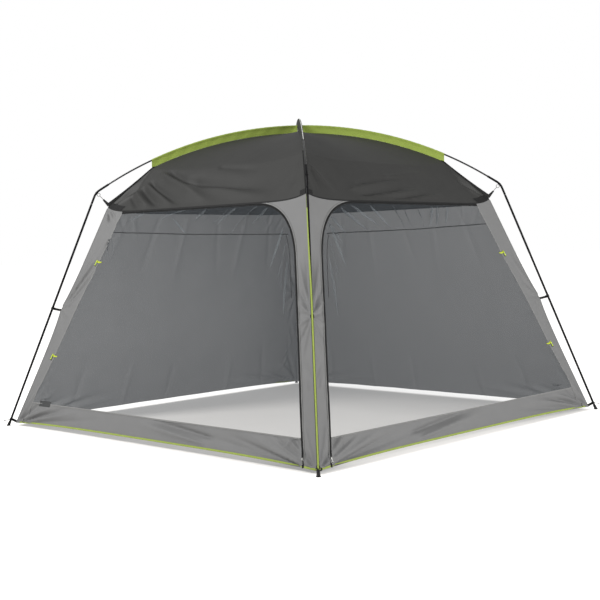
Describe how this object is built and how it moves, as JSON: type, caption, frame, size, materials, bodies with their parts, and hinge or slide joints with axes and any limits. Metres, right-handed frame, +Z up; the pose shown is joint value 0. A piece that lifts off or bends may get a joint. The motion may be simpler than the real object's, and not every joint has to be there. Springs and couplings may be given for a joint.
{
  "type": "screen house",
  "caption": "Square free-standing camping shelter with crossed arch poles, domed cloth roof, leaning walls, arched mesh zip doors and solid rear walls.",
  "frame": {"origin": "on the ground at the centre of the footprint", "axes": "+Z up; the two mesh door walls face -Y (front) and +X (right); the solid walls face +Y and -X"},
  "size_m": [3.1946, 3.1946, 2.2185],
  "materials": {
    "charcoal_cloth": "coated woven polyester, matte",
    "green_cloth": "coated woven polyester, matte",
    "grey_cloth": "coated woven polyester, matte",
    "mesh_cloth": "fine knitted insect mesh, see-through",
    "webbing": "woven polypropylene webbing",
    "steel_tube": "black powder coat",
    "fibreglass_pole": "smooth black glass fibre rod",
    "black_plastic": "moulded nylon",
    "green_plastic": "moulded nylon"
  },
  "bodies": {
    "root": {"arch_pole_front_right": "fibreglass_pole", "elbow_front_right": "steel_tube", "leg_upper_front_right": "steel_tube", "leg_lower_front_right": "steel_tube", "foot_cap_front_right": "black_plastic", "leg_clip_front_right": "webbing", "roof_hook_front_right": "webbing", "foot_strap_front_right": "webbing", "sleeve_front_right": "charcoal_cloth", "arch_pole_back_right": "fibreglass_pole", "elbow_back_right": "steel_tube", "leg_upper_back_right": "steel_tube", "leg_lower_back_right": "steel_tube", "foot_cap_back_right": "black_plastic", "leg_clip_back_right": "webbing", "roof_hook_back_right": "webbing", "foot_strap_back_right": "webbing", "sleeve_back_right": "green_cloth", "arch_pole_back_left": "fibreglass_pole", "elbow_back_left": "steel_tube", "leg_upper_back_left": "steel_tube", "leg_lower_back_left": "steel_tube", "foot_cap_back_left": "black_plastic", "leg_clip_back_left": "webbing", "roof_hook_back_left": "webbing", "foot_strap_back_left": "webbing", "sleeve_back_left": "charcoal_cloth", "arch_pole_front_left": "fibreglass_pole", "elbow_front_left": "steel_tube", "leg_upper_front_left": "steel_tube", "leg_lower_front_left": "steel_tube", "foot_cap_front_left": "black_plastic", "leg_clip_front_left": "webbing", "roof_hook_front_left": "webbing", "foot_strap_front_left": "webbing", "sleeve_front_left": "green_cloth", "front_arch_panel": "grey_cloth", "front_hinge_panel": "grey_cloth", "front_zip_track": "black_plastic", "right_arch_panel": "grey_cloth", "right_hinge_panel": "grey_cloth", "right_zip_track": "black_plastic", "back_wall": "grey_cloth", "left_wall": "grey_cloth", "roof_front": "charcoal_cloth", "roof_right": "charcoal_cloth", "roof_back": "charcoal_cloth", "roof_left": "charcoal_cloth"},
    "front_door": {"front_door_mesh": "mesh_cloth", "front_door_skirt": "grey_cloth", "label_patch": "black_plastic"},
    "front_toggle_upper": {"front_toggle_upper": "green_plastic"},
    "front_toggle_lower": {"front_toggle_lower": "green_plastic"},
    "front_zip_slider": {"front_zip_slider": "black_plastic"},
    "right_door": {"right_door_mesh": "mesh_cloth", "right_door_skirt": "grey_cloth"},
    "right_toggle_upper": {"right_toggle_upper": "green_plastic"},
    "right_toggle_lower": {"right_toggle_lower": "green_plastic"},
    "right_zip_slider": {"right_zip_slider": "black_plastic"}
  },
  "joints": [
    {"name": "front_door_swing", "type": "hinge", "parent": "root", "child": "front_door", "pos_m": [-1.43596, -1.52174, 0.03], "axis": [-0.3583, -0.289, -0.8877], "range_deg": [0, 100]},
    {"name": "front_zip_slide", "type": "slide", "parent": "root", "child": "front_zip_slider", "axis": [-0.2957, 0.2957, 0.9083], "range_m": [0, 1.15]},
    {"name": "front_toggle_upper_swing", "type": "hinge", "parent": "root", "child": "front_toggle_upper", "pos_m": [-0.97769, -1.14467, 1.21232], "axis": [0, 0.9509, -0.3096], "range_deg": [-75, 75]},
    {"name": "front_toggle_lower_swing", "type": "hinge", "parent": "root", "child": "front_toggle_lower", "pos_m": [-1.25417, -1.36771, 0.52732], "axis": [0, 0.9509, -0.3096], "range_deg": [-75, 75]},
    {"name": "right_door_swing", "type": "hinge", "parent": "root", "child": "right_door", "pos_m": [1.52174, 1.43596, 0.03], "axis": [-0.289, -0.3583, 0.8877], "range_deg": [0, 100]},
    {"name": "right_zip_slide", "type": "slide", "parent": "root", "child": "right_zip_slider", "axis": [-0.2957, 0.2957, 0.9083], "range_m": [0, 1.15]},
    {"name": "right_toggle_upper_swing", "type": "hinge", "parent": "root", "child": "right_toggle_upper", "pos_m": [1.14467, 0.97769, 1.21232], "axis": [0.9509, 0, 0.3096], "range_deg": [-75, 75]},
    {"name": "right_toggle_lower_swing", "type": "hinge", "parent": "root", "child": "right_toggle_lower", "pos_m": [1.36771, 1.25417, 0.52732], "axis": [0.9509, 0, 0.3096], "range_deg": [-75, 75]}
  ]
}
